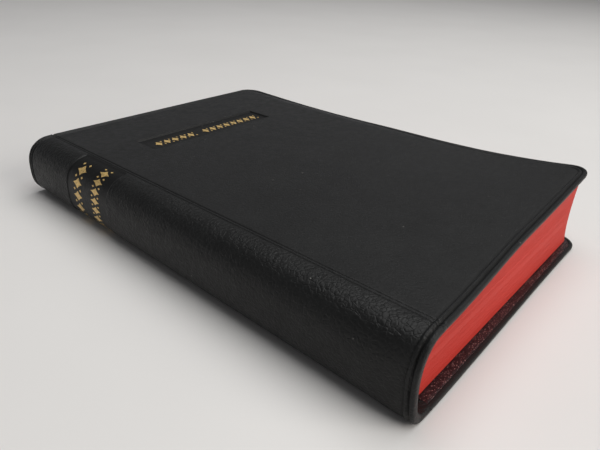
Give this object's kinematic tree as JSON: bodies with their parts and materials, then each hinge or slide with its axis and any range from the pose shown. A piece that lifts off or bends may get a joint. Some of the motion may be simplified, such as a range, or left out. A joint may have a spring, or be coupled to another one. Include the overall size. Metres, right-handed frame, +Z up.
{
  "type": "prayer book",
  "caption": "Closed limp-bound prayer book with rounded spine, red-stained page edges and hinged covers; it opens flat at the middle.",
  "frame": {"origin": "centre of the closed book's underside, on the back cover's outer face", "axes": "+X from the spine to the fore edge, +Y from tail to head along the spine, +Z up through the thickness to the front cover"},
  "size_m": [0.131, 0.19, 0.027],
  "materials": {
    "cover_vinyl": "satin black, pebble-grained imitation leather",
    "lining_vinyl": "glossy, very dark maroon-black",
    "board_card": "raw grey-brown card",
    "end_paper": "uncoated cream endpaper",
    "edged_paper": "thin paper with red-stained trimmed edges",
    "page_paper": "thin cream printing paper",
    "mull_cloth": "open-weave starched cloth",
    "liner_paper": "brown kraft paper",
    "linen_thread": "waxed linen thread",
    "gilt_foil": "dull gold foil blocking"
  },
  "bodies": {
    "back_block": {"section_01": "edged_paper", "section_02": "edged_paper", "section_03": "edged_paper", "section_04": "edged_paper", "section_05": "edged_paper", "section_06": "edged_paper", "section_07": "edged_paper", "section_08": "edged_paper", "section_09": "edged_paper", "section_10": "edged_paper", "section_11": "edged_paper", "section_12": "edged_paper", "back_flyleaf": "end_paper", "spine_skin_back_half": "cover_vinyl", "spine_liner_back_half": "liner_paper", "spine_mull_back_half": "mull_cloth", "sewing_thread_back_1": "linen_thread", "sewing_thread_back_2": "linen_thread", "sewing_thread_back_3": "linen_thread", "sewing_thread_back_4": "linen_thread", "sewing_thread_back_5": "linen_thread"},
    "front_block": {"section_13": "edged_paper", "section_14": "edged_paper", "section_15": "edged_paper", "section_16": "edged_paper", "section_17": "edged_paper", "section_18": "edged_paper", "section_19": "edged_paper", "section_20": "edged_paper", "section_21": "edged_paper", "section_22": "edged_paper", "section_23": "edged_paper", "section_24": "edged_paper", "front_flyleaf": "end_paper", "spine_skin_front_half": "cover_vinyl", "spine_liner_front_half": "liner_paper", "spine_mull_front_half": "mull_cloth", "sewing_thread_front_1": "linen_thread", "sewing_thread_front_2": "linen_thread", "sewing_thread_front_3": "linen_thread", "sewing_thread_front_4": "linen_thread", "sewing_thread_front_5": "linen_thread"},
    "back_cover": {"back_cover_skin": "cover_vinyl", "back_cover_board": "board_card", "back_cover_lining": "lining_vinyl", "back_pastedown": "end_paper"},
    "front_cover": {"front_cover_skin": "cover_vinyl", "front_cover_board": "board_card", "front_cover_lining": "lining_vinyl", "front_pastedown": "end_paper"},
    "back_leaf": {"back_centre_leaf": "edged_paper"},
    "front_leaf": {"front_centre_leaf": "edged_paper"}
  },
  "joints": [
    {"name": "front_cover_hinge", "type": "hinge", "parent": "front_block", "child": "front_cover", "pos_m": [-0.054, 0, 0.0272], "axis": [0, -1, 0], "range_deg": [0, 179]},
    {"name": "back_cover_hinge", "type": "hinge", "parent": "back_block", "child": "back_cover", "pos_m": [-0.054, 0, -0.0017], "axis": [0, 1, 0], "range_deg": [0, 179]},
    {"name": "middle_opening", "type": "hinge", "parent": "back_block", "child": "front_block", "pos_m": [-0.0656, 0, 0.0135], "axis": [0, 1, 0], "range_deg": [-179, 0]},
    {"name": "back_leaf_turn", "type": "hinge", "parent": "back_block", "child": "back_leaf", "pos_m": [-0.0656, 0, 0.0135], "axis": [0, 1, 0], "range_deg": [-63, 0]},
    {"name": "front_leaf_turn", "type": "hinge", "parent": "back_block", "child": "front_leaf", "pos_m": [-0.0656, 0, 0.0135], "axis": [0, 1, 0], "range_deg": [-117, 0]}
  ],
  "couplings": [
    {"joint": "back_leaf_turn", "follows": "middle_opening", "ratio": 0.35},
    {"joint": "front_leaf_turn", "follows": "middle_opening", "ratio": 0.65}
  ]
}
